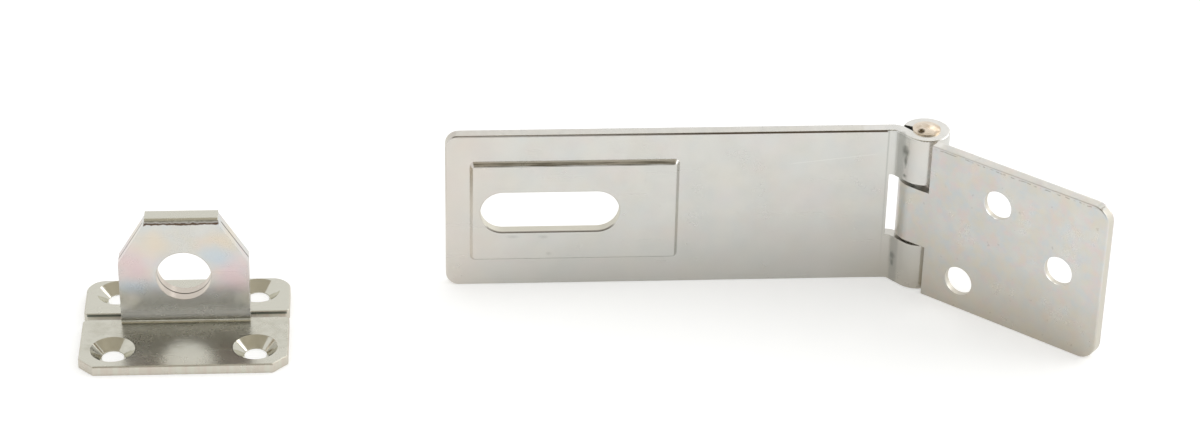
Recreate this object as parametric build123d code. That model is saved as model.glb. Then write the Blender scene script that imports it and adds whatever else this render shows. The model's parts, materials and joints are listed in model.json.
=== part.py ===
from build123d import *
import os
from math import cos, isclose, radians, sin, sqrt, tan

# Hinged hasp in pressed steel: a slotted strap on a hinge pin, the fixed leaf that it folds over,
# and the folded staple that comes through the slot and takes the padlock.
# Millimetres, Z up. The strap and the leaf stand on their long edges and the pin is upright, as
# in the photograph. While the pieces are drawn, the pin's axis is X = Y = 0, the strap runs to -X
# and -Y is the side that faces the viewer. At the end all pieces move together, so that the
# origin is the centre of the underside of their common box.

# Sheet metal
SHEET = 2.5
HEIGHT = 38.0
CORNER_RADIUS = 3.0
EDGE_RADIUS = 0.3

# Hinge
PIN_RADIUS = 2.7
PIN_CLEARANCE = 0.08
PIN_END_RECESS = 0.4
PIN_HEAD_SPREAD = 0.35
PIN_HEAD_RIM = 0.3
PIN_HEAD_RISE = 0.9
DIMPLE_BALL = 0.8
DIMPLE_DEPTH = 0.3
DIMPLE_OFFSET = 2.2
DIMPLE_TURN = 229.0
LOWER_KNUCKLE = 11.3
UPPER_KNUCKLE = 11.2
PLAY_BELOW_TONGUE = 0.8
PLAY_ABOVE_TONGUE = 0.9
KNUCKLE_CLEARANCE = 0.4
FOLDED_GAP = 0.35

# Strap
HINGE_TO_SLOT = 82.1
STRAP_END_LAND = 7.6
JOGGLE_ANGLE = 50.0
JOGGLE_INSIDE_RADIUS = 1.0
STRAP_ROLL_STOP = 26.0
WINDOW_CLEARANCE = 2.3
PAD_RISE = 1.0
PAD_WALL_ANGLE = 35.0
PAD_CORNER_RADIUS = 1.2
PAD_EDGE_RADIUS = 0.25
PAD_PIN_MARGIN = 13.0
PAD_END_MARGIN = 2.3
PAD_SIDE_MARGIN = 7.5

# Fixed leaf
LEAF_REACH = 48.6
LEAF_CORNER_RADIUS = 4.0
LEAF_ROLL_STOP = 22.0
LEAF_SWING = 40.5
LEAF_HOLE_RADIUS = 3.4
LEAF_SINK_DEPTH = 1.1
SINK_ANGLE = 100.0
UPPER_HOLE_REACH = 22.0
UPPER_HOLE_EDGE = 8.7
MIDDLE_HOLE_REACH = 38.0
LOWER_HOLE_REACH = 14.0
LOWER_HOLE_EDGE = 7.0

# Staple
STAPLE_SHEET = 2.2
SEAM = 0.15
LUG_WIDTH = 27.8
LUG_TOP_WIDTH = 15.6
LUG_TOP = 27.9
LUG_SHOULDER = 16.9
BEND_INSIDE_RADIUS = 0.4
FOLD_CORNER_RADIUS = 1.1
EYE_RADIUS = 5.9
EYE_HEIGHT = 13.7
BASE_WIDTH = 44.5
BASE_FRONT = 19.6
BASE_BACK = 14.7
BASE_CHAMFER = 3.2
BASE_CORNER_RADIUS = 4.0
BASE_EDGE_BREAK = 0.25
EAR_GAP = 2.1
EAR_CORNER_RADIUS = 1.0
SCREW_RADIUS = 2.4
SCREW_SINK_DEPTH = 2.0
SCREW_SPACING = 30.4
SCREW_ROW_FRONT = 12.8
SCREW_ROW_BACK = 9.6
SLOT_END_CLEARANCE = 1.4
SLOT_SIDE_CLEARANCE = 2.75

# Where the staple stands beside the strap, taken off as in the photograph
STAPLE_GAP = 34.3
STAPLE_FORWARD = 14.1

# Worked out from the sizes above
PIN_HEAD_RADIUS = PIN_RADIUS + PIN_HEAD_SPREAD
LEAF_BORE_RADIUS = PIN_RADIUS + PIN_CLEARANCE
LEAF_MID_RADIUS = LEAF_BORE_RADIUS + SHEET / 2
STRAP_MID_RADIUS = PIN_RADIUS + SHEET / 2
STRAP_BARREL_RADIUS = PIN_RADIUS + SHEET
LEAF_BARREL_RADIUS = LEAF_BORE_RADIUS + SHEET
STRAP_Y = LEAF_BORE_RADIUS - FOLDED_GAP - SHEET / 2
SLOT_LENGTH = LUG_WIDTH + 2 * SLOT_END_CLEARANCE
SLOT_WIDTH = 2 * STAPLE_SHEET + SEAM + 2 * SLOT_SIDE_CLEARANCE
STRAP_REACH = HINGE_TO_SLOT + SLOT_LENGTH / 2 + STRAP_END_LAND
WINDOW_REACH = LEAF_BARREL_RADIUS + WINDOW_CLEARANCE
WINDOW_BOTTOM = LOWER_KNUCKLE
WINDOW_TOP = HEIGHT - UPPER_KNUCKLE
TONGUE_BOTTOM = WINDOW_BOTTOM + PLAY_BELOW_TONGUE
TONGUE_TOP = WINDOW_TOP - PLAY_ABOVE_TONGUE
LEAF_EDGE = sqrt((STRAP_BARREL_RADIUS + KNUCKLE_CLEARANCE) ** 2 - LEAF_BORE_RADIUS**2)
LUG_MID = (STAPLE_SHEET + SEAM) / 2
BEND_FOOT = LUG_MID + STAPLE_SHEET / 2 + BEND_INSIDE_RADIUS
STAPLE_X = -(STRAP_REACH + STAPLE_GAP + BASE_WIDTH / 2)


def block(x0, x1, y0, y1, z0, z1):
    """A box between two corners."""
    return Pos(x0, y0, z0) * Box(x1 - x0, y1 - y0, z1 - z0, align=(Align.MIN, Align.MIN, Align.MIN))


def countersink(radius, sink_depth, sheet):
    """A screw hole's cutter: it starts at the origin and goes down through the sheet."""
    sink_radius = radius + sink_depth * tan(radians(SINK_ANGLE / 2))
    cone = Pos(0, 0, -sink_depth / 2) * Cone(radius, sink_radius, sink_depth)
    shank = Pos(0, 0, -sheet / 2) * Cylinder(radius, 2 * sheet)
    return cone + shank


def round_rims(plate, face_y):
    """Rounds the top and bottom rims of one face, and the corners and bends that carry them on."""
    levels = plate.edges().group_by(Axis.Z)
    rims = [edge for edge in levels[0] + levels[-1] if isclose(edge.center().Y, face_y, abs_tol=0.01)]
    return fillet(rims, EDGE_RADIUS)


def strap_section():
    """The strap seen from above: flat, stepped towards the viewer, then rolled round the pin."""
    slope = radians(JOGGLE_ANGLE)
    tangent_point = (-STRAP_MID_RADIUS * sin(slope), -STRAP_MID_RADIUS * cos(slope))
    rise = STRAP_Y - tangent_point[1]
    step_start = (tangent_point[0] - rise / tan(slope), STRAP_Y)
    sheet_run = FilletPolyline(
        (-STRAP_REACH, STRAP_Y), step_start, tangent_point, radius=JOGGLE_INSIDE_RADIUS + SHEET / 2
    )
    roll = CenterArc((0, 0), STRAP_MID_RADIUS, 270 - JOGGLE_ANGLE, 270 + JOGGLE_ANGLE - STRAP_ROLL_STOP)
    return trace(sheet_run + roll, SHEET)


def pad_block(face_y, inset):
    """The raised pad's outer form, or with an inset the pocket behind it."""
    near = HINGE_TO_SLOT - SLOT_LENGTH / 2 - PAD_PIN_MARGIN
    far = HINGE_TO_SLOT + SLOT_LENGTH / 2 + PAD_END_MARGIN
    width = SLOT_WIDTH + 2 * PAD_SIDE_MARGIN
    foot = Plane(origin=(-(near + far) / 2, face_y, HEIGHT / 2), x_dir=(1, 0, 0), z_dir=(0, -1, 0))
    outline = foot * RectangleRounded(far - near - 2 * inset, width - 2 * inset, PAD_CORNER_RADIUS)
    return extrude(outline, PAD_RISE, taper=PAD_WALL_ANGLE)


def make_strap():
    strap = extrude(strap_section(), HEIGHT)
    reach = 2 * STRAP_BARREL_RADIUS
    strap -= block(-WINDOW_REACH, reach, -reach, reach, WINDOW_BOTTOM, WINDOW_TOP)
    end_corners = strap.edges().filter_by(Axis.Y).group_by(Axis.X)[0]
    strap = fillet(end_corners, CORNER_RADIUS)
    outer_y = STRAP_Y - SHEET / 2
    strap = round_rims(strap, outer_y)
    pad = pad_block(outer_y, 0)
    strap += fillet(pad.edges().group_by(Axis.Y)[0], PAD_EDGE_RADIUS)
    strap -= pad_block(STRAP_Y + SHEET / 2, SHEET * tan(radians(PAD_WALL_ANGLE / 2)))
    slot_plane = Plane(origin=(-HINGE_TO_SLOT, STRAP_Y, HEIGHT / 2), x_dir=(1, 0, 0), z_dir=(0, -1, 0))
    slot = extrude(slot_plane * SlotOverall(SLOT_LENGTH, SLOT_WIDTH), 2 * SHEET, both=True)
    strap -= slot
    pad_face = strap.faces().filter_by(Axis.Y).sort_by(Axis.Y)[0]
    return fillet(pad_face.inner_wires().edges(), EDGE_RADIUS)


def leaf_section():
    """The fixed leaf seen from above, lying along +X, with its wood side at -Y."""
    plate = Line((LEAF_REACH, -LEAF_MID_RADIUS), (0, -LEAF_MID_RADIUS))
    roll = CenterArc((0, 0), LEAF_MID_RADIUS, 270, -270 - LEAF_ROLL_STOP)
    return trace(plate + roll, SHEET)


def make_fixed_leaf():
    leaf = extrude(leaf_section(), HEIGHT)
    reach = 2 * LEAF_BARREL_RADIUS
    for low, high in ((0, TONGUE_BOTTOM), (TONGUE_TOP, HEIGHT)):
        leaf -= block(-reach, LEAF_EDGE, -reach, reach, low, high)
        leaf -= block(-reach, reach, -LEAF_BORE_RADIUS, reach, low, high)
    end_corners = leaf.edges().filter_by(Axis.Y).group_by(Axis.X)[-1]
    leaf = fillet(end_corners, LEAF_CORNER_RADIUS)
    leaf = round_rims(leaf, -LEAF_BARREL_RADIUS)
    holes = [
        (UPPER_HOLE_REACH, HEIGHT - UPPER_HOLE_EDGE),
        (MIDDLE_HOLE_REACH, HEIGHT / 2),
        (LOWER_HOLE_REACH, LOWER_HOLE_EDGE),
    ]
    cutter = countersink(LEAF_HOLE_RADIUS, LEAF_SINK_DEPTH, SHEET)
    for along, up in holes:
        room_side = Plane(origin=(along, -LEAF_BORE_RADIUS, up), x_dir=(1, 0, 0), z_dir=(0, 1, 0))
        leaf -= room_side.location * cutter
    return Rot(0, 0, -LEAF_SWING) * leaf


def make_hinge_pin():
    """A plain pin, flush below, with a peened and dimpled head spread over the upper knuckle."""
    shank_length = HEIGHT - PIN_END_RECESS
    shank = Pos(0, 0, PIN_END_RECESS + shank_length / 2) * Cylinder(PIN_RADIUS, shank_length)
    rim_top = HEIGHT + PIN_HEAD_RIM
    crown = HEIGHT + PIN_HEAD_RISE
    head_rim = Polyline((0, crown), (0, HEIGHT), (PIN_HEAD_RADIUS, HEIGHT), (PIN_HEAD_RADIUS, rim_top))
    dome = TangentArc((0, crown), (PIN_HEAD_RADIUS, rim_top), tangent=(1, 0))
    head = revolve(Plane.XZ * make_face(head_rim + dome), Axis.Z)
    dome_at_dimple = crown - (PIN_HEAD_RISE - PIN_HEAD_RIM) * (DIMPLE_OFFSET / PIN_HEAD_RADIUS) ** 2
    ball_height = dome_at_dimple - DIMPLE_DEPTH + DIMPLE_BALL
    dimple = Rot(0, 0, DIMPLE_TURN) * Pos(DIMPLE_OFFSET, 0, ball_height) * Sphere(DIMPLE_BALL)
    return shank + head - dimple


def staple_section():
    """The staple's mid strip from its end: two angles back to back, joined by the pressed fold."""
    mid = STAPLE_SHEET / 2
    bend = BEND_INSIDE_RADIUS + mid
    front = FilletPolyline((-BASE_FRONT, mid), (-LUG_MID, mid), (-LUG_MID, LUG_TOP - mid), radius=bend)
    back = FilletPolyline((BASE_BACK, mid), (LUG_MID, mid), (LUG_MID, LUG_TOP - mid), radius=bend)
    thickness = 2 * LUG_MID + STAPLE_SHEET
    fold = Pos(0, LUG_TOP - mid) * Rectangle(thickness, STAPLE_SHEET)
    section = trace(front, STAPLE_SHEET) + trace(back, STAPLE_SHEET) + fold
    fold_corners = section.vertices().group_by(Axis.Y)[-1]
    return fillet(fold_corners, FOLD_CORNER_RADIUS)


def make_lug_strip():
    strip = extrude(Plane.YZ * staple_section(), LUG_WIDTH / 2, both=True)
    half = LUG_WIDTH / 2
    top_half = LUG_TOP_WIDTH / 2
    fold_start = LUG_TOP - FOLD_CORNER_RADIUS
    right_side = [(half, 0), (half, LUG_SHOULDER), (top_half, fold_start), (top_half, LUG_TOP)]
    left_side = [(-x, z) for x, z in reversed(right_side)]
    outline = Polyline(*right_side, *left_side, close=True)
    reach = BASE_FRONT + BASE_BACK
    envelope = extrude(Plane.XZ * make_face(outline), reach, both=True)
    eye = Pos(0, 0, EYE_HEIGHT) * Rot(90, 0, 0) * Cylinder(EYE_RADIUS, 4 * STAPLE_SHEET)
    return (strip & envelope) - eye


def make_ear(side, y_near, y_far):
    """One flat ear beside the lug, from the slit to the front or back edge of the base."""
    x_inner = side * LUG_WIDTH / 2
    x_outer = side * BASE_WIDTH / 2
    xs = sorted((x_inner, x_outer))
    ys = sorted((y_near, y_far))
    ear = block(xs[0], xs[1], ys[0], ys[1], 0, STAPLE_SHEET)
    corners = ear.edges().filter_by(Axis.Z)
    outer = corners.sort_by(Axis.X)[-2:] if side > 0 else corners.sort_by(Axis.X)[:2]
    slit_corner = outer.sort_by(Axis.Y)[-1 if y_far < 0 else 0]
    ear = fillet(slit_corner, EAR_CORNER_RADIUS)
    corners = ear.edges().filter_by(Axis.Z)
    edge_corners = corners.group_by(Axis.Y)[0 if y_far < 0 else -1]
    outer_corner = edge_corners.sort_by(Axis.X)[-1 if side > 0 else 0]
    if y_far < 0:
        return chamfer(outer_corner, BASE_CHAMFER)
    return fillet(outer_corner, BASE_CORNER_RADIUS)


def break_base_rim(staple):
    """Takes the sharp edge off the base's upper rim, round the ears' corners and into the slits."""
    level = staple.edges().filter_by(lambda edge: isclose(edge.center().Z, STAPLE_SHEET))
    rim = level.filter_by(lambda edge: abs(edge.center().Y) > 1.1 * BEND_FOOT)
    return chamfer(rim, BASE_EDGE_BREAK)


def make_staple():
    staple = make_lug_strip()
    for side in (-1, 1):
        staple += make_ear(side, -EAR_GAP / 2, -BASE_FRONT)
        staple += make_ear(side, EAR_GAP / 2, BASE_BACK)
    staple = break_base_rim(staple)
    cutter = countersink(SCREW_RADIUS, SCREW_SINK_DEPTH, STAPLE_SHEET)
    for x in (-SCREW_SPACING / 2, SCREW_SPACING / 2):
        for y in (-SCREW_ROW_FRONT, SCREW_ROW_BACK):
            staple -= Pos(x, y, STAPLE_SHEET) * cutter
    return Pos(STAPLE_X, -STAPLE_FORWARD, 0) * staple


def main():
    pieces = {
        "strap": make_strap(),
        "fixed_leaf": make_fixed_leaf(),
        "hinge_pin": make_hinge_pin(),
        "staple": make_staple(),
    }
    box = Compound(children=[Compound(piece.solids()) for piece in pieces.values()]).bounding_box()
    to_origin = Pos(-box.center().X, -box.center().Y, -box.min.Z)
    os.makedirs("parts", exist_ok=True)
    for name, piece in pieces.items():
        export_step(to_origin * piece, f"parts/{name}.step")
    print("pin axis at", to_origin.position.X, to_origin.position.Y)


main()
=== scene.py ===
import json
from math import cos, radians, sin

import bpy
from mathutils import Matrix, Vector

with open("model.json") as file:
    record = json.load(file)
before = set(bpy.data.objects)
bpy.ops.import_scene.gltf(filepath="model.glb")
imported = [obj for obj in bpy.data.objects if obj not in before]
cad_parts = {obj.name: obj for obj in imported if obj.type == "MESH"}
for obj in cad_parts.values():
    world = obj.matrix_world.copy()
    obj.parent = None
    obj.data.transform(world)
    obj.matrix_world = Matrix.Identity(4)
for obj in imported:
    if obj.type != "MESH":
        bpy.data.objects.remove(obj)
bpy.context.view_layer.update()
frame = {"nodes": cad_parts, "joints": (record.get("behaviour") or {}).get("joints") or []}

# A hinged hasp in bright zinc plate, taken apart for the camera: the slotted strap and its screw-down
# leaf stand on their long edges at the right, joined by a peened pin, and the folded staple stands on
# its base at the left. The scene is in metres, in the frame of the solids. Places and sizes on the
# object are written in millimetres, and turn to metres where a node takes them.

MM = 0.001
scene = bpy.context.scene
pin_axis = Vector(frame["joints"][0]["pos_m"])
STAPLE_MIDDLE = Vector((-87.2252, 0.9876, 0)) * MM
LUG_MIDDLE = STAPLE_MIDDLE.y / MM

# Photograph
IMAGE_WIDTH = 1200
SENSOR_WIDTH = 36.0
FOCAL_PIXELS = 3273.7
CAMERA_PITCH = 31.354
CAMERA_ROLL = 1.29
CAMERA_YAW = -4.214
CAMERA_FROM_PIN = Vector((-70.82, -621.148, 391.581)) * MM
CLIP_START, CLIP_END = 0.01, 20.0

# A height and a length past every piece
ABOVE_ALL = 60.0
ALL_ROUND = 200.0

# Strap and leaf: places up from the floor, and along x and y
SHEET = 2.5
PLATE_TOP = 38.0
STRAP_FRONT, PAD_FRONT, PAST_FACE = 15.02, 14.02, 0.3
PAD_LEFT, PAD_RIGHT = -24.4, 19.2
PAD_WALL_LOW, PAD_WALL_HIGH = 30.62, 31.2
SLOT_CENTRE, SLOT_HALF_STRAIGHT, SLOT_END_RADIUS = (-7.775, 19.0), 10.275, 5.025
# Heights of the painted dark reflection along the slot's lower rim
SLOT_REFLECTION_LOW, SLOT_REFLECTION_HIGH = 10, 15
JOGGLE_START = 66.0
JOGGLE_LINE = (JOGGLE_START + 0.1, JOGGLE_START + 0.2)
JOGGLE_SHADE = (JOGGLE_START + 0.3, 69.2)
SCRATCH_START, SCRATCH_LENGTH, SCRATCH_SLOPE = (46.1, 30.0), 16.5, 6.4
SCRATCH_HALF_WIDTH, SCRATCH_SHARE = 0.04, 0.35

# Marks on the strap's front, as places along it and up it, half widths and half heights
PRESS_MARKS = [
    (69.6, 34.1, 0.8, 1.9), (69.75, 31.9, 0.4, 2.5), (69.7, 27.9, 0.45, 0.6),
    (68.45, 6.5, 0.8, 1.4), (68.6, 4.8, 0.4, 1.4),
]
PRESS_DEPTH = 0.03
SMUDGES = [(-9.1, 12.7, 1.5, 0.6), (-8.0, 8.4, 0.9, 0.6), (-16.0, 12.8, 1.8, 0.5)]
SMUDGE_SHARE = 0.22

# Walls that the punch cut: the plate's turn about the pin in degrees, their reach along it, its back face
STRAP_PUNCHED = (0, (-135, -14), 2.43)
LEAF_PUNCHED = (40.5, (7, 60), -2.78)
PUNCH_RIM, PUNCH_FROM_EDGE, PUNCH_MATT = 0.35, 1, 0.28

# The painted shade at the foot of each plate, standing for the shadowed floor that it reflects:
# where it starts along x, how it fades in, its height and its strength
STRAP_FOOT_START, HINGE_FOOT_START, LEAF_FOOT_START = -30, 54, 50
FOOT_FADE, FOOT_HEIGHT, FOOT_SHARE = 25, 18, 0.7

# The sheared top edge, the burr below it and the brown line on the strap's front, a painted dark reflection
SHEARED_FROM = PLATE_TOP - 0.02
SHEAR_STREAK, SHEAR_LEAST, SHEAR_MORE, SHEAR_MATT = 1.5, 0.4, 0.4, 0.08
BURR_LOW, BURR_HIGH, BURR_SOFT = PLATE_TOP - 0.42, PLATE_TOP - 0.34, 0.16
BURR_WAVE, BURR_WAVER, BURR_GRAIN = 2.5, 0.35, 1.1
RIM_LOW, RIM_HIGH, RIM_END = PLATE_TOP - 0.42, PLATE_TOP - 0.12, JOGGLE_START - 0.4

# Staple: places up from the floor, or across from its middle
BASE_TOP = 2.2
BASE_RIM = (BASE_TOP - 0.3, BASE_TOP - 0.03)
CUT_TOP = BASE_TOP - 0.12
LUG_FACE = 2.28
LUG_FOOT = BASE_TOP + 1.6
FOOT_BEND = (BASE_TOP + 1.0, BASE_TOP + 1.8)
EYE_RADIUS, EYE_HEIGHT = 5.9, 13.7
SLIT_HALF, SLIT_DEEP = 1.05, (1.6, BASE_TOP - 0.25)
SCREW_ACROSS, SCREW_ROWS, SINK_RADIUS = 15.2, (-12.8, 9.6), 4.9
FOLD_FOOT = 26.95
FOLD_CREASE = (FOLD_FOOT - 0.1, FOLD_FOOT + 0.15)
FOLD_TEAR = (FOLD_FOOT + 0.05, FOLD_FOOT + 0.35)
FOLD_CROWN = FOLD_FOOT + 0.4
SEAM_HALF, SEAM_TOP = 0.12, FOLD_FOOT - 1.2

# The staple's film: where it strengthens up the lug, its strength on base and lug, and its blots,
# whose places and sizes are like the marks'
LUG_FILM_FROM, LUG_FILM_TO, LUG_FILM_FADE = 11.0, FOLD_FOOT - 0.5, 4.0
BASE_FILM, LUG_FILM = 0.06, 0.35
LUG_ROSE = [(-10.2, 16.2, 5.6, 7.0), (10.6, 13.8, 5.0, 5.4)]
LUG_STRAW = [(-6.0, 21.6, 6.0, 4.8), (7.6, 21.8, 5.0, 3.8)]
LUG_BLUE = [(-11.0, 11.2, 5.6, 2.8), (6.6, 18.6, 4.6, 3.8)]
BLOT_SHARE, BLOT_GRAIN = 0.68, 5.0

# The slope by which the shine on the lug leans back, and the height that it starts at
LUG_LEAN, LEAN_FROM = 0.05, 4.0

# Pin: where its head starts, and the dimple's places from the pin's axis with its height
PIN_HEAD_FOOT = 37.9
DIMPLE_FROM_PIN = (-1.44, -1.66, 38.6)
DIMPLE_RADIUS, DIMPLE_SOFT = 0.45, 0.6

# The noise levels between which a patch goes from nothing to full
BROAD = (0.2, 0.8)
STREAKED = (0.25, 0.75)
CLOUDED = (0.3, 0.7)
SMUDGED = (0.35, 0.75)
SHADED = (0.4, 0.65)
RAGGED = (0.42, 0.58)
FILMED = (0.42, 0.70)
DOTTED = (0.71, 0.77)

# Zinc plate with a clear blue passivate
ZINC = "e2e1dc"
ZINC_GREY = "d3d4d0"
BASE_OLIVE = "dedccf"
BASE_SMUDGE = "a9a48f"
FILM_ROSE = "ead2d2"
FILM_BLUE = "d0dbe2"
FILM_STRAW = "e6dcc6"
LUG_TINTS = ("ecd0d2", "ebdcc6", "cbdbe6")
SHEARED_EDGE = "f0eee8"
# Painted shade at the foot of the leaf and of the strap's hinge end, for the shadowed floor they reflect
FOOT_PAINTED_SHADE = "c2b9a8"
# Painted shade at the foot of the strap, for the shadowed floor it reflects
STRAP_FOOT_PAINTED_SHADE = "c9c7c1"
END_WARM = "e6d8ca"
SCRATCH_LIGHT = "f4f4f0"
CUT_WALL = "dad0c4"
SLOT_WALL = "e8e5da"
CUT_PLATE = "e0dcd2"
# Painted shade in the staple's slits
SLIT_PAINTED_SHADE = "6c756d"
BURR_DARK = "85796a"
# Painted dark reflection along the rims of the strap's top and of its slot
PAINTED_RIM_REFLECTION = "5a4e43"
# Painted shade on the wall along the top of the strap's raised pad
PAD_SHADE = "6e695c"
# Press marks and smudges, and painted shade on the strap's joggle
PRESS_MARK_AND_SHADE = "969791"
SEAM_DARK = "5c5344"
CREASE_BROWN = "665548"

# The plating's clouds and mottle: their sizes, their shares of its roughness, and the clouds' grey
CLOUD_SIZE, MOTTLE_SIZE = 7.0, 1.3
CLOUD_SHARE, MOTTLE_SHARE, GREY_SHARE = 0.7, 0.3, 0.35

# Each tone of the film, its patches' size as a share of the film's, and the shift that keeps tones apart
FILM_TONES = [(FILM_ROSE, 1.0, 0.13), (FILM_BLUE, 0.85, 0.37), (FILM_STRAW, 1.15, 0.71)]

# Each piece's strength of film, size of film patches, and lowest and highest roughness
STRAP_PLATING = (0.14, 7.0, (0.20, 0.28))
LEAF_PLATING = (0.42, 2.8, (0.26, 0.36))
STAPLE_FILM_SIZE, STAPLE_SHINE = 6.0, (0.13, 0.20)
PIN_PLATING = (0.3, 4.0, (0.22, 0.32))

# Scuffs: each set's angle in degrees and the noise level that it starts at, then how they are drawn
SCUFF_SETS = [(12, 0.74), (-38, 0.75)]
SCUFF_SPACING, SCUFF_STRETCH, SCUFF_EDGE = 0.6, 0.02, 0.06
SCUFF_MATT, SCUFF_DEPTH = 0.05, 0.0008

# The sheet's fine grain and its broad waves, as a size and a height
GRAIN_SIZE, GRAIN_HEIGHT = 0.8, 0.00025
WAVE_SIZE, WAVE_HEIGHT = 14.0, 0.030
CORNER_RADIUS = 0.15

# How metallic the staple's plating is, and how much less so in the worked bend at the lug's foot
PLATED_METALLIC, WORKED_LESS = 0.97, 0.30

# Bare peened steel
PEENED_STEEL = "f0e2cf"
PEENED_SHADE = "cbb69c"
DIMPLE_STAIN = "62543f"

# Studio, in metres and watts
FLOOR_WHITE = "f0f0ee"
FLOOR_HALF = 3.0
FLOOR_LIFT = 0.31
FLOOR_SHINE_LIFT = 0.12
ROOM_WHITE = "ffffff"
ROOM_LEVEL = 0.87
ROOM_SHINE = 0.84
CARD_OVER = "c2bbad"
CARD_FRONT = "262623"
FLAG_HALF_WIDTH = 0.9
FLAG_BACK, FLAG_FRONT = 0.35, -0.95
FLAG_LOW, FLAG_HIGH = 0.45, 0.95
RIGHT_SOFTBOX = {"place": (0.90, 0.13, 0.50), "aim": (0.07, 0, 0), "sides": (0.80, 0.55), "watts": 2.4}
BACK_SOFTBOX = {"place": (0.50, 0.90, 0.70), "aim": (0.07, 0, 0.04), "sides": (0.30, 0.30), "watts": 0.5}


def linear(colour):
    """An sRGB hex colour as linear red, green, blue and alpha."""
    channels = [int(colour[i:i + 2], 16) / 255 for i in (0, 2, 4)]
    return [c / 12.92 if c <= 0.04045 else ((c + 0.055) / 1.055) ** 2.4 for c in channels] + [1.0]


def per_mm(size):
    """The texture scale, in cycles for each metre, of a pattern that repeats every size millimetres."""
    return 1 / (size * MM)


def add(tree, kind, inputs=None, out=0, **settings):
    """Adds a node with its settings, sets or links its inputs, and gives back one of its outputs.

    With out=None it gives back the node, for one with several outputs in use or with none.
    """
    node = tree.nodes.new(kind)
    for name, value in settings.items():
        setattr(node, name, value)
    for name, value in (inputs or {}).items():
        if isinstance(value, bpy.types.NodeSocket):
            tree.links.new(value, node.inputs[name])
        else:
            node.inputs[name].default_value = value
    return node if out is None else node.outputs[out]


def start_material(name):
    """An empty material and its node tree."""
    material = bpy.data.materials.new(name)
    material.use_nodes = True
    tree = material.node_tree
    tree.nodes.clear()
    return material, tree


def start_coat(name):
    """A material for a piece, with the place on the object that its patterns follow, whole and in parts."""
    material, tree = start_material(name)
    place = add(tree, "ShaderNodeTexCoord", out="Object")
    parts = add(tree, "ShaderNodeSeparateXYZ", {0: place}, out=None)
    return {
        "material": material, "tree": tree, "place": place,
        "x": parts.outputs["X"], "y": parts.outputs["Y"], "z": parts.outputs["Z"],
    }


def product(tree, *factors):
    """Masks and shares multiplied together."""
    result = factors[0]
    for factor in factors[1:]:
        result = add(tree, "ShaderNodeMath", {0: result, 1: factor}, operation="MULTIPLY")
    return result


def tint(coat, tone, *masks):
    """Turns the coat's colour to tone, as far as the masks and shares multiplied together say."""
    tree = coat["tree"]
    coat["colour"] = add(tree, "ShaderNodeMix", {
        0: product(tree, *masks), 6: coat["colour"], 7: linear(tone),
    }, out=2, data_type="RGBA")


def raise_by(coat, what, amount, *masks):
    """Adds amount, times the masks, to the coat's roughness or to its height in millimetres."""
    tree = coat["tree"]
    coat[what] = add(tree, "ShaderNodeMath", {
        0: product(tree, *masks), 1: amount, 2: coat[what],
    }, operation="MULTIPLY_ADD")


def measured_from(coat, start, turn):
    """The place as outputs X, Y and Z, measured from start and turned about it by degrees."""
    tree = coat["tree"]
    apart = add(tree, "ShaderNodeVectorMath", {0: coat["place"], 1: list(start)}, operation="SUBTRACT")
    turned = add(tree, "ShaderNodeMapping", {"Vector": apart, "Rotation": [radians(a) for a in turn]})
    return add(tree, "ShaderNodeSeparateXYZ", {0: turned}, out=None).outputs


def patches(tree, place, size, levels, detail=2.0, stretch=(1, 1, 1), shift=0.0):
    """Cloudy patches, size millimetres across, that rise from 0 to 1 as the noise crosses its levels."""
    low, high = levels
    moved = add(tree, "ShaderNodeMapping", {"Vector": place, "Scale": stretch, "Location": [shift] * 3})
    cloud = add(tree, "ShaderNodeTexNoise", {"Vector": moved, "Scale": per_mm(size), "Detail": detail})
    return add(tree, "ShaderNodeMapRange", {
        "Value": cloud, "From Min": low, "From Max": high,
    }, interpolation_type="SMOOTHSTEP")


def between(tree, value, low, high, soft):
    """1 where value, in metres, lies between low and high millimetres, with soft sides."""
    rise = add(tree, "ShaderNodeMapRange", {
        "Value": value, "From Min": (low - soft) * MM, "From Max": low * MM,
    }, interpolation_type="SMOOTHSTEP")
    fall = add(tree, "ShaderNodeMapRange", {
        "Value": value, "From Min": high * MM, "From Max": (high + soft) * MM, "To Min": 1, "To Max": 0,
    }, interpolation_type="SMOOTHSTEP")
    return product(tree, rise, fall)


def scuffs(tree, place, depth):
    """Fine straight lines in two sets, which handling left in the plating.

    They are drawn as coarse as they need to show. With a depth of 0 they also run straight on a
    plate that is turned from the x axis.
    """
    lines = []
    for angle, start in SCUFF_SETS:
        turned = add(tree, "ShaderNodeMapping", {
            "Vector": place, "Rotation": (0, radians(angle), 0), "Scale": (SCUFF_STRETCH, depth, 1),
        })
        noise = add(tree, "ShaderNodeTexNoise", {
            "Vector": turned, "Scale": per_mm(SCUFF_SPACING), "Detail": 0.0,
        })
        lines.append(add(tree, "ShaderNodeMapRange", {
            "Value": noise, "From Min": start, "From Max": start + SCUFF_EDGE,
        }, interpolation_type="SMOOTHSTEP"))
    return add(tree, "ShaderNodeMath", {0: lines[0], 1: lines[1]}, operation="MAXIMUM")


def blot(tree, place, spot, grain):
    """A soft ragged blot on an upright face: 1 at its centre, and gone a little past its ellipse.

    The spot is the centre's two places and the ellipse's half width and half height, in millimetres.
    """
    across, up, half_width, half_height = spot
    core, rim, raggedness = 0.3, 1.3, 0.35
    scale = (1 / (half_width * MM), 0.0, 1 / (half_height * MM))
    shift = (-across / half_width, 0.0, -up / half_height)
    apart = add(tree, "ShaderNodeMapping", {"Vector": place, "Scale": scale, "Location": shift})
    far = add(tree, "ShaderNodeVectorMath", {0: apart}, out="Value", operation="LENGTH")
    ragged = patches(tree, place, grain, BROAD, detail=3.0)
    far = add(tree, "ShaderNodeMath", {0: ragged, 1: raggedness, 2: far}, operation="MULTIPLY_ADD")
    return add(tree, "ShaderNodeMapRange", {
        "Value": far, "From Min": core, "From Max": rim, "To Min": 1, "To Max": 0,
    }, interpolation_type="SMOOTHSTEP")


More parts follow.
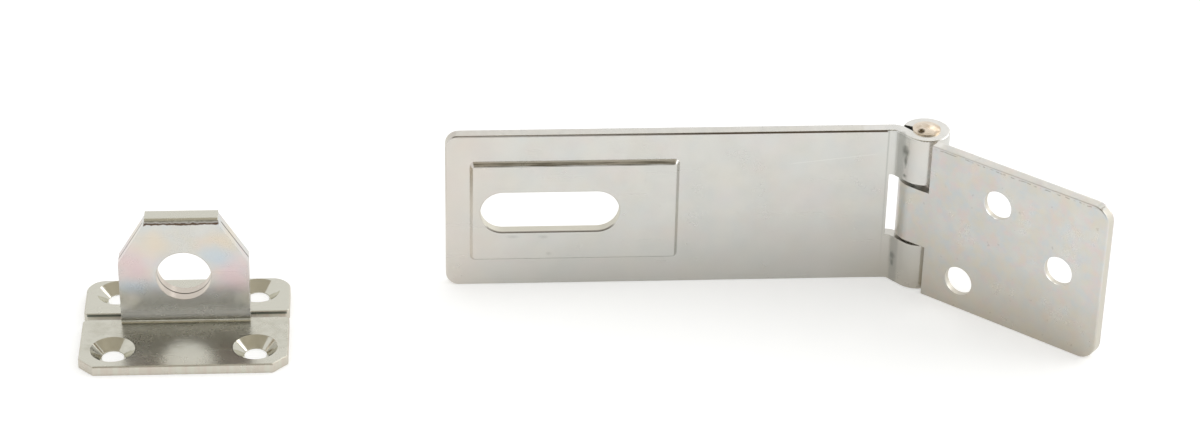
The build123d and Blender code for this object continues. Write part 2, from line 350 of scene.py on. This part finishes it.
def zinc_plate(coat, film, film_size, shine, depth=1):
    """Electroplated zinc under a clear blue passivate, on cold-rolled sheet.

    The eye sees a pale satin metal. Its shine varies in soft clouds, a thin film turns it faintly
    rose, blue and straw in patches about film_size wide, and fine scuffs cross it.
    """
    tree, place = coat["tree"], coat["place"]
    cloud = patches(tree, place, CLOUD_SIZE, CLOUDED, detail=4.0)
    mottle = patches(tree, place, MOTTLE_SIZE, CLOUDED, detail=3.0)
    grey = product(tree, cloud, GREY_SHARE)
    coat["colour"] = add(tree, "ShaderNodeMix", {
        0: grey, 6: linear(ZINC), 7: linear(ZINC_GREY),
    }, out=2, data_type="RGBA")
    for tone, share, shift in FILM_TONES:
        patch = patches(tree, place, share * film_size, FILMED, detail=3.0, shift=shift)
        tint(coat, tone, patch, film)
    dullness_and_foot_shade = add(tree, "ShaderNodeMath", {0: mottle, 1: MOTTLE_SHARE, 2: 0.0}, operation="MULTIPLY_ADD")
    dullness_and_foot_shade = add(tree, "ShaderNodeMath", {0: cloud, 1: CLOUD_SHARE, 2: dullness_and_foot_shade}, operation="MULTIPLY_ADD")
    smoothest, roughest = shine
    coat["roughness"] = add(tree, "ShaderNodeMapRange", {
        "Value": dullness_and_foot_shade, "To Min": smoothest, "To Max": roughest,
    })
    lines = scuffs(tree, place, depth)
    raise_by(coat, "roughness", SCUFF_MATT, lines)
    coat["height"] = 0.0
    raise_by(coat, "height", GRAIN_HEIGHT, patches(tree, place, GRAIN_SIZE, BROAD, detail=1.0))
    raise_by(coat, "height", WAVE_HEIGHT, patches(tree, place, WAVE_SIZE, BROAD, detail=1.0))
    raise_by(coat, "height", -SCUFF_DEPTH, lines)


def finish_metal(coat, metallic=1.0):
    """The metal's shader; its corners are softened a little and its height is in millimetres."""
    tree = coat["tree"]
    corner = add(tree, "ShaderNodeBevel", {"Radius": CORNER_RADIUS * MM}, samples=4)
    bump = add(tree, "ShaderNodeBump", {
        "Strength": 1.0, "Distance": MM, "Height": coat["height"], "Normal": corner,
    })
    metal = add(tree, "ShaderNodeBsdfPrincipled", {
        "Base Color": coat["colour"], "Metallic": metallic, "Roughness": coat["roughness"], "Normal": bump,
    })
    add(tree, "ShaderNodeOutputMaterial", {"Surface": metal}, out=None)
    return coat["material"]


def shear_top(coat, burr_and_rim_reflection):
    """The long top edge, torn paler and rougher by the shear, with a ragged dark burr below it."""
    tree, place = coat["tree"], coat["place"]
    sheared = between(tree, coat["z"], SHEARED_FROM, ABOVE_ALL, soft=0.1)
    streaks = patches(tree, place, SHEAR_STREAK, BROAD, stretch=(1, 0.3, 1))
    torn = add(tree, "ShaderNodeMath", {0: streaks, 1: SHEAR_MORE, 2: SHEAR_LEAST}, operation="MULTIPLY_ADD")
    tint(coat, SHEARED_EDGE, sheared, torn)
    raise_by(coat, "roughness", SHEAR_MATT, sheared, torn)
    waver = patches(tree, place, BURR_WAVE, BROAD, detail=3.0, stretch=(1, 1, 0.1))
    wavy_level = add(tree, "ShaderNodeMath", {
        0: waver, 1: BURR_WAVER * MM, 2: coat["z"],
    }, operation="MULTIPLY_ADD")
    rim = between(tree, wavy_level, BURR_LOW, BURR_HIGH, BURR_SOFT)
    ragged = patches(tree, place, BURR_GRAIN, RAGGED, stretch=(1, 1, 0.1))
    tint(coat, BURR_DARK, rim, ragged, burr_and_rim_reflection)


def painted_foot_shade(coat, tone, start):
    """Painted shade on the lower part, standing for the shadowed floor that it reflects, from start
    millimetres on.
    """
    tree = coat["tree"]
    dullness_and_foot_shade = add(tree, "ShaderNodeMapRange", {
        "Value": coat["x"], "From Min": start * MM, "From Max": (start + FOOT_FADE) * MM,
    })
    low = add(tree, "ShaderNodeMapRange", {
        "Value": coat["z"], "From Min": FOOT_HEIGHT * MM, "From Max": 0, "To Max": FOOT_SHARE,
    })
    # Painted shade: the lower part darkens towards the floor, standing for the shadowed floor it reflects
    tint(coat, tone, dullness_and_foot_shade, low)


def cut_through(coat, angle, reach, back, *masks):
    """The walls that a punch cut through a plate that lies at an angle: matt, and paler than the faces."""
    tree = coat["tree"]
    from_pin = measured_from(coat, pin_axis, (0, 0, angle))
    along = between(tree, from_pin["X"], *reach, soft=1)
    inside = between(tree, from_pin["Y"], back - SHEET + PUNCH_RIM, back - PUNCH_RIM, soft=0.05)
    off_edges = between(tree, coat["z"], PUNCH_FROM_EDGE, PLATE_TOP - PUNCH_FROM_EDGE, soft=0.5)
    tint(coat, CUT_PLATE, inside, along, off_edges, *masks)
    raise_by(coat, "roughness", PUNCH_MATT, inside, along, *masks)


def specks(coat, share):
    """A few dark pinholes in the plating."""
    tint(coat, BURR_DARK, patches(coat["tree"], coat["place"], size=1.5, levels=DOTTED, shift=0.9), share)


def slot_wall(coat):
    """The wall of the strap's slot: matt and pale, with a painted dark reflection along its lower front rim.

    It lies at the radius of the slot's round ends from the straight line between their centres.
    """
    tree = coat["tree"]
    matt, reflection_width, reflection_share = 0.38, 0.2, 0.55
    centre_x, centre_z = SLOT_CENTRE
    across = add(tree, "ShaderNodeMath", {0: coat["x"], 1: -centre_x * MM}, operation="ADD")
    across = add(tree, "ShaderNodeMath", {0: across}, operation="ABSOLUTE")
    across = add(tree, "ShaderNodeMath", {0: across, 1: SLOT_HALF_STRAIGHT * MM}, operation="SUBTRACT")
    across = add(tree, "ShaderNodeMath", {0: across, 1: 0}, operation="MAXIMUM")
    up = add(tree, "ShaderNodeMath", {0: coat["z"], 1: -centre_z * MM}, operation="ADD")
    apart = add(tree, "ShaderNodeCombineXYZ", {0: across, 1: up})
    apart = add(tree, "ShaderNodeVectorMath", {0: apart}, out="Value", operation="LENGTH")
    wall = between(tree, apart, 0, SLOT_END_RADIUS + 0.04, soft=0.04)
    tint(coat, SLOT_WALL, wall)
    raise_by(coat, "roughness", matt, wall)
    # Painted dark reflection along the slot's lower front rim
    rim = between(tree, coat["y"], PAD_FRONT - 1, PAD_FRONT + PAST_FACE, soft=0.2)
    lower = between(tree, coat["z"], SLOT_REFLECTION_LOW, SLOT_REFLECTION_HIGH, soft=1)
    burr_and_rim_reflection = between(tree, apart, 0, SLOT_END_RADIUS + reflection_width, soft=0.1)
    tint(coat, PAINTED_RIM_REFLECTION, burr_and_rim_reflection, rim, lower, reflection_share)


def painted_rim_reflection(coat, front):
    """Painted dark reflection: a brown line along the top of the strap's front, darker towards the hinge."""
    tree = coat["tree"]
    faint_end, dark_end, faint, dark = -30 * MM, 30 * MM, 0.4, 1.0
    along = add(tree, "ShaderNodeMapRange", {
        "Value": coat["x"], "From Min": faint_end, "From Max": dark_end, "To Min": faint, "To Max": dark,
    })
    brown = between(tree, coat["z"], RIM_LOW, RIM_HIGH, soft=0.1)
    before_joggle = between(tree, coat["x"], -ALL_ROUND, RIM_END, soft=0.5)
    # Painted dark reflection of the dark front and ceiling along the top edge
    tint(coat, PAINTED_RIM_REFLECTION, brown, front, before_joggle, along)


def pad_wall(coat, front):
    """Painted shade: an olive line on the wall along the top of the raised pad."""
    tree = coat["tree"]
    least, more = 0.3, 0.55
    pad = between(tree, coat["x"], PAD_LEFT, PAD_RIGHT, soft=0.3)
    wall = between(tree, coat["z"], PAD_WALL_LOW, PAD_WALL_HIGH, soft=0.15)
    grain = patches(tree, coat["place"], size=0.35, levels=CLOUDED, detail=1.0, stretch=(0.06, 1, 1))
    grain = add(tree, "ShaderNodeMath", {0: grain, 1: more, 2: least}, operation="MULTIPLY_ADD")
    # Painted shade on the pad's top wall
    tint(coat, PAD_SHADE, wall, pad, front, grain)


def joggle_line(coat, front):
    """A grey line where the strap bends towards the hinge, and painted shade on the slope beyond it."""
    tree = coat["tree"]
    line_share, shade_share = 0.4, 0.38
    line = between(tree, coat["x"], *JOGGLE_LINE, soft=0.25)
    outside = between(tree, coat["y"], STRAP_FRONT - 0.1, STRAP_FRONT + PAST_FACE, soft=0.1)
    high = add(tree, "ShaderNodeMapRange", {
        "Value": coat["z"], "From Max": PLATE_TOP * MM, "To Max": line_share,
    })
    tint(coat, PRESS_MARK_AND_SHADE, line, outside, high)
    # Painted shade on the joggle's slope
    shade = between(tree, coat["x"], *JOGGLE_SHADE, soft=0.6)
    tint(coat, PRESS_MARK_AND_SHADE, shade, front, shade_share)


def strap_wear(coat, front):
    """The strap's warm free end and the one long scratch beside its hinge."""
    tree = coat["tree"]
    warm_start, warm_full, warm_share = -14 * MM, -30 * MM, 0.38
    end = add(tree, "ShaderNodeMapRange", {
        "Value": coat["x"], "From Min": warm_start, "From Max": warm_full, "To Max": warm_share,
    })
    tint(coat, END_WARM, end)
    start = (SCRATCH_START[0] * MM, 0, SCRATCH_START[1] * MM)
    from_start = measured_from(coat, start, (0, SCRATCH_SLOPE, 0))
    along = between(tree, from_start["X"], 0, SCRATCH_LENGTH, soft=2)
    across = between(tree, from_start["Z"], -SCRATCH_HALF_WIDTH, SCRATCH_HALF_WIDTH, soft=0.12)
    tint(coat, SCRATCH_LIGHT, along, across, front, SCRATCH_SHARE)


def strap_material():
    """Zinc plate on the strap: press and shear marks on a clean satin face, painted shade and reflections.
    """
    coat = start_coat("Zinc plated strap")
    tree, place = coat["tree"], coat["place"]
    zinc_plate(coat, *STRAP_PLATING, depth=0)
    # Painted shade on the strap's lower part
    painted_foot_shade(coat, STRAP_FOOT_PAINTED_SHADE, STRAP_FOOT_START)
    painted_foot_shade(coat, FOOT_PAINTED_SHADE, HINGE_FOOT_START)
    face = between(tree, coat["y"], -ALL_ROUND, STRAP_FRONT + PAST_FACE, soft=0.1)
    before_pin = between(tree, coat["y"], -ALL_ROUND, pin_axis.y / MM - 1, soft=0.5)
    strap_wear(coat, face)
    shear_top(coat, burr_and_rim_reflection=0.1)
    pad_along = between(tree, coat["x"], PAD_LEFT, PAD_RIGHT, soft=0.4)
    pad_up = between(tree, coat["z"], PLATE_TOP - PAD_WALL_HIGH, PAD_WALL_HIGH, soft=0.4)
    pad = product(tree, pad_along, pad_up)
    beside_pad = add(tree, "ShaderNodeMath", {0: 1.0, 1: pad}, operation="SUBTRACT")
    cut_through(coat, *STRAP_PUNCHED, beside_pad)
    specks(coat, share=0.06)
    slot_wall(coat)
    painted_rim_reflection(coat, face)
    pad_wall(coat, face)
    joggle_line(coat, before_pin)
    for spot in PRESS_MARKS:
        mark = blot(tree, place, spot, grain=0.9)
        tint(coat, PRESS_MARK_AND_SHADE, mark, before_pin)
        raise_by(coat, "height", -PRESS_DEPTH, mark, before_pin)
    for spot in SMUDGES:
        tint(coat, PRESS_MARK_AND_SHADE, blot(tree, place, spot, grain=0.6), face, SMUDGE_SHARE)
    return finish_metal(coat)


def leaf_material():
    """Zinc plate on the leaf: a mottled thin film, fine pinholes and a burr along the sheared top."""
    coat = start_coat("Zinc plated leaf")
    zinc_plate(coat, *LEAF_PLATING, depth=0)
    # Painted shade on the leaf's lower part
    painted_foot_shade(coat, FOOT_PAINTED_SHADE, LEAF_FOOT_START)
    shear_top(coat, burr_and_rim_reflection=0.5)
    cut_through(coat, *LEAF_PUNCHED)
    specks(coat, share=0.22)
    return finish_metal(coat)


def from_staple(coat):
    """The place on the object, measured from the middle of the staple's base."""
    return add(coat["tree"], "ShaderNodeVectorMath", {
        0: coat["place"], 1: list(STAPLE_MIDDLE),
    }, operation="SUBTRACT")


def lug_film(coat):
    """The rainbow film on the staple's lug: broad soft blots of rose, straw and blue."""
    tree = coat["tree"]
    middle_place = from_staple(coat)
    for tone, spots in zip(LUG_TINTS, (LUG_ROSE, LUG_STRAW, LUG_BLUE)):
        for spot in spots:
            tint(coat, tone, blot(tree, middle_place, spot, BLOT_GRAIN), BLOT_SHARE)


def base_film(coat, lug):
    """The staple's base: olive, glossier than the lug, and smudged brown in front of it."""
    tree = coat["tree"]
    smudge_reach, smudge_share, smudge_matt, lug_matt = 12, 0.28, 0.06, 0.09
    base = add(tree, "ShaderNodeMath", {0: 1.0, 1: lug}, operation="SUBTRACT")
    tint(coat, BASE_OLIVE, base)
    smudge = patches(tree, coat["place"], size=2.2, levels=SMUDGED, detail=6.0, shift=0.05)
    before_lug = between(tree, coat["y"], LUG_MIDDLE - smudge_reach, LUG_MIDDLE - LUG_FACE, soft=4)
    smudge = product(tree, smudge, base, before_lug, smudge_share)
    tint(coat, BASE_SMUDGE, smudge)
    raise_by(coat, "roughness", smudge_matt, smudge)
    raise_by(coat, "roughness", lug_matt, lug)


def sinks(coat):
    """1 in the staple's four countersunk screw holes."""
    tree = coat["tree"]
    flat = add(tree, "ShaderNodeVectorMath", {0: from_staple(coat), 1: (1, 1, 0)}, operation="MULTIPLY")
    mask = 0.0
    for across in (-SCREW_ACROSS, SCREW_ACROSS):
        for row in SCREW_ROWS:
            away = add(tree, "ShaderNodeVectorMath", {
                0: flat, 1: (across * MM, row * MM, 0),
            }, out="Value", operation="DISTANCE")
            hole = between(tree, away, -1, SINK_RADIUS, soft=0.2)
            mask = add(tree, "ShaderNodeMath", {0: hole, 1: mask}, operation="MAXIMUM")
    return mask


def staple_cuts(coat):
    """The staple's punched edges, slits, eye and countersinks.

    The edges are matt, streaked and paler than the faces, the slits hold painted shade, and the
    countersinks are glossier.
    """
    tree = coat["tree"]
    sink_gloss, rim_matt, cut_matt, slit_share = -0.07, 0.25, 0.12, 0.9
    inside_sinks = sinks(coat)
    raise_by(coat, "roughness", sink_gloss, inside_sinks)
    outside_sinks = add(tree, "ShaderNodeMath", {0: 1.0, 1: inside_sinks}, operation="SUBTRACT")
    cut = product(tree, between(tree, coat["z"], -1, CUT_TOP, soft=0.05), outside_sinks)
    streaks = patches(tree, coat["place"], size=1.3, levels=STREAKED, detail=3.0, stretch=(1, 1, 0.15))
    tint(coat, CUT_WALL, cut, streaks)
    raise_by(coat, "roughness", rim_matt, between(tree, coat["z"], *BASE_RIM, soft=0.05), outside_sinks)
    # Painted shade down in the slits
    slit = between(tree, coat["y"], LUG_MIDDLE - SLIT_HALF - 0.05, LUG_MIDDLE + SLIT_HALF + 0.05, soft=0.05)
    tint(coat, SLIT_PAINTED_SHADE, slit, between(tree, coat["z"], *SLIT_DEEP, soft=0.25), slit_share)
    raise_by(coat, "roughness", cut_matt, cut)
    eye = [STAPLE_MIDDLE.x, STAPLE_MIDDLE.y, EYE_HEIGHT * MM]
    from_eye = add(tree, "ShaderNodeVectorMath", {0: coat["place"], 1: eye}, operation="SUBTRACT")
    from_eye = add(tree, "ShaderNodeVectorMath", {0: from_eye, 1: (1, 0, 1)}, operation="MULTIPLY")
    from_eye = add(tree, "ShaderNodeVectorMath", {0: from_eye}, out="Value", operation="LENGTH")
    tint(coat, CUT_WALL, between(tree, from_eye, EYE_RADIUS - 1, EYE_RADIUS + 0.03, soft=0.1))


def staple_fold(coat):
    """The fold at the lug's top: an olive crown over a torn brown crease, and the seam down its sides."""
    tree, level = coat["tree"], coat["z"]
    tear_share, tear_matt, tear_height, crease_waver = 0.75, 0.2, 0.03, 0.4
    front = between(tree, coat["y"], LUG_MIDDLE - 2 * LUG_FACE, LUG_MIDDLE - LUG_FACE / 2, soft=0.3)
    tint(coat, BASE_OLIVE, between(tree, level, FOLD_CROWN, ABOVE_ALL, soft=0.3))
    torn = patches(tree, coat["place"], size=1.0, levels=BROAD, detail=4.0)
    fold = between(tree, level, *FOLD_TEAR, soft=0.4)
    tint(coat, BURR_DARK, fold, front, torn, tear_share)
    raise_by(coat, "roughness", tear_matt, fold, front)
    raise_by(coat, "height", tear_height, fold, front, torn)
    waver = add(tree, "ShaderNodeMath", {0: torn, 1: crease_waver * MM, 2: level}, operation="MULTIPLY_ADD")
    tint(coat, CREASE_BROWN, between(tree, waver, *FOLD_CREASE, soft=0.2), front)
    seam = between(tree, coat["y"], LUG_MIDDLE - SEAM_HALF, LUG_MIDDLE + SEAM_HALF, soft=0.1)
    tint(coat, SEAM_DARK, seam, between(tree, level, BASE_TOP, SEAM_TOP, soft=0.3))


def staple_material():
    """Zinc plate on the staple: rainbow film on a satin lug, a glossier base, and a torn brown fold."""
    coat = start_coat("Zinc plated staple")
    tree, level = coat["tree"], coat["z"]
    lug = between(tree, level, LUG_FOOT, ABOVE_ALL, soft=1.2)
    face = between(tree, level, LUG_FILM_FROM, LUG_FILM_TO, LUG_FILM_FADE)
    film = add(tree, "ShaderNodeMath", {0: face, 1: LUG_FILM, 2: BASE_FILM}, operation="MULTIPLY_ADD")
    zinc_plate(coat, film, STAPLE_FILM_SIZE, STAPLE_SHINE)
    lug_film(coat)
    base_film(coat, lug)
    staple_cuts(coat)
    staple_fold(coat)
    lean = add(tree, "ShaderNodeMapRange", {
        "Value": level, "From Min": LEAN_FROM * MM, "From Max": FOLD_FOOT * MM,
        "To Max": -LUG_LEAN * (FOLD_FOOT - LEAN_FROM),
    })
    raise_by(coat, "height", 1.0, lean)
    worked = product(tree, between(tree, level, *FOOT_BEND, soft=3.0), lug)
    metallic = add(tree, "ShaderNodeMath", {
        0: worked, 1: -WORKED_LESS, 2: PLATED_METALLIC,
    }, operation="MULTIPLY_ADD")
    return finish_metal(coat, metallic)


def pin_material():
    """Plated steel whose end was peened bare: warm, bright, and stained round the tool's dimple."""
    coat = start_coat("Peened steel pin")
    tree, place = coat["tree"], coat["place"]
    shade_share = 0.8
    zinc_plate(coat, *PIN_PLATING)
    bare = between(tree, coat["z"], PIN_HEAD_FOOT, ABOVE_ALL, soft=0.1)
    tint(coat, PEENED_STEEL, bare)
    tint(coat, PEENED_SHADE, bare, patches(tree, place, size=2.2, levels=SHADED, shift=0.2), shade_share)
    along, across, height = DIMPLE_FROM_PIN
    dimple = [pin_axis.x + along * MM, pin_axis.y + across * MM, height * MM]
    away = add(tree, "ShaderNodeVectorMath", {0: place, 1: dimple}, out="Value", operation="DISTANCE")
    tint(coat, DIMPLE_STAIN, between(tree, away, -1, DIMPLE_RADIUS, DIMPLE_SOFT))
    return finish_metal(coat)


def dress(node, material):
    """Gives a solid its one material."""
    mesh = frame["nodes"][node].data
    mesh.materials.clear()
    mesh.materials.append(material)


def stage_card(name, half, near, far, material):
    """A flat card of the studio, from its half width and the y and z of its near and far sides."""
    mesh = bpy.data.meshes.new(name)
    corners = [(-half, *near), (half, *near), (half, *far), (-half, *far)]
    mesh.from_pydata(corners, [], [(0, 1, 2, 3)])
    mesh.materials.append(material)
    card = bpy.data.objects.new(name, mesh)
    scene.collection.objects.link(card)
    return card


def ray_kinds(tree):
    """Two masks: 1 for what the camera sees straight, and 1 for what it sees in metal or glass."""
    path = add(tree, "ShaderNodeLightPath", out=None).outputs
    shine = add(tree, "ShaderNodeMath", {
        0: path["Is Glossy Ray"], 1: path["Is Transmission Ray"],
    }, operation="MAXIMUM")
    return path["Is Camera Ray"], shine


def make_floor():
    """A white sweep: it is plain white in the open and keeps the soft shadow under the pieces."""
    material, tree = start_material("White paper sweep")
    straight, shine = ray_kinds(tree)
    lift = add(tree, "ShaderNodeMath", {0: shine, 1: FLOOR_SHINE_LIFT}, operation="MULTIPLY")
    lift = add(tree, "ShaderNodeMath", {0: straight, 1: FLOOR_LIFT, 2: lift}, operation="MULTIPLY_ADD")
    paper = add(tree, "ShaderNodeBsdfDiffuse", {"Color": linear(FLOOR_WHITE)})
    glow = add(tree, "ShaderNodeEmission", {"Strength": lift})
    both = add(tree, "ShaderNodeAddShader", {0: paper, 1: glow})
    add(tree, "ShaderNodeOutputMaterial", {"Surface": both}, out=None)
    stage_card("studio_floor", FLOOR_HALF, (-FLOOR_HALF, 0), (FLOOR_HALF, 0), material)


def make_world():
    """A white room: it shows as plain white, and lights the floor a little less than that."""
    world = bpy.data.worlds.new("Studio")
    scene.world = world
    world.use_nodes = True
    tree = world.node_tree
    tree.nodes.clear()
    straight, shine = ray_kinds(tree)
    level = add(tree, "ShaderNodeMapRange", {"Value": shine, "To Min": ROOM_LEVEL, "To Max": ROOM_SHINE})
    strength = add(tree, "ShaderNodeMath", {0: straight, 1: level}, operation="MAXIMUM")
    room = add(tree, "ShaderNodeBackground", {"Color": linear(ROOM_WHITE), "Strength": strength})
    add(tree, "ShaderNodeOutputWorld", {"Surface": room}, out=None)


def make_softbox(name, place, aim, sides, watts):
    """A flat soft lamp that faces aim."""
    lamp = bpy.data.lights.new(name, "AREA")
    lamp.shape = "RECTANGLE"
    lamp.size, lamp.size_y = sides
    lamp.energy = watts
    box = bpy.data.objects.new(name, lamp)
    scene.collection.objects.link(box)
    place = Vector(place)
    direction = (Vector(aim) - place).to_track_quat("-Z", "Y")
    box.matrix_world = Matrix.Translation(place) @ direction.to_matrix().to_4x4()


def make_flags():
    """The dark side of the studio: grey cards overhead and in front that only the metal's shine shows."""
    cards = {
        "over": (CARD_OVER, (FLAG_FRONT, FLAG_HIGH), (FLAG_BACK, FLAG_HIGH)),
        "front": (CARD_FRONT, (FLAG_FRONT, FLAG_LOW), (FLAG_FRONT, FLAG_HIGH)),
    }
    for side, (tone, near, far) in cards.items():
        material, tree = start_material(f"Grey card {side}")
        card = add(tree, "ShaderNodeBsdfDiffuse", {"Color": linear(tone)})
        add(tree, "ShaderNodeOutputMaterial", {"Surface": card}, out=None)
        flag = stage_card(f"studio_flag_{side}", FLAG_HALF_WIDTH, near, far, material)
        flag.visible_camera = False
        flag.visible_shadow = False
        flag.visible_diffuse = False


def make_camera():
    """The photograph's camera: in front of the hinge, looking down, with a slight roll."""
    pitch, roll = radians(CAMERA_PITCH), radians(CAMERA_ROLL)
    right = Vector((1, 0, 0))
    ahead = Vector((0, cos(pitch), -sin(pitch)))
    up = right.cross(ahead)
    across = right * cos(roll) + up * sin(roll)
    upright = up * cos(roll) - right * sin(roll)
    yaw = Matrix.Rotation(radians(CAMERA_YAW), 3, "Z")
    columns = [yaw @ v for v in (across, upright, -ahead)]
    turn = Matrix(columns).transposed().to_4x4()
    camera = bpy.data.cameras.new("Camera")
    camera.sensor_width = SENSOR_WIDTH
    camera.lens = FOCAL_PIXELS / IMAGE_WIDTH * SENSOR_WIDTH
    camera.clip_start = CLIP_START
    camera.clip_end = CLIP_END
    stand = bpy.data.objects.new("Camera", camera)
    scene.collection.objects.link(stand)
    foot = Vector((pin_axis.x, pin_axis.y, 0))
    stand.matrix_world = Matrix.Translation(foot + yaw @ CAMERA_FROM_PIN) @ turn
    scene.camera = stand


make_camera()
make_world()
make_floor()
make_flags()
make_softbox("Softbox at the right", **RIGHT_SOFTBOX)
make_softbox("Small softbox behind", **BACK_SOFTBOX)

dress("strap", strap_material())
dress("fixed_leaf", leaf_material())
dress("staple", staple_material())
dress("hinge_pin", pin_material())

scene.view_settings.view_transform = "Standard"
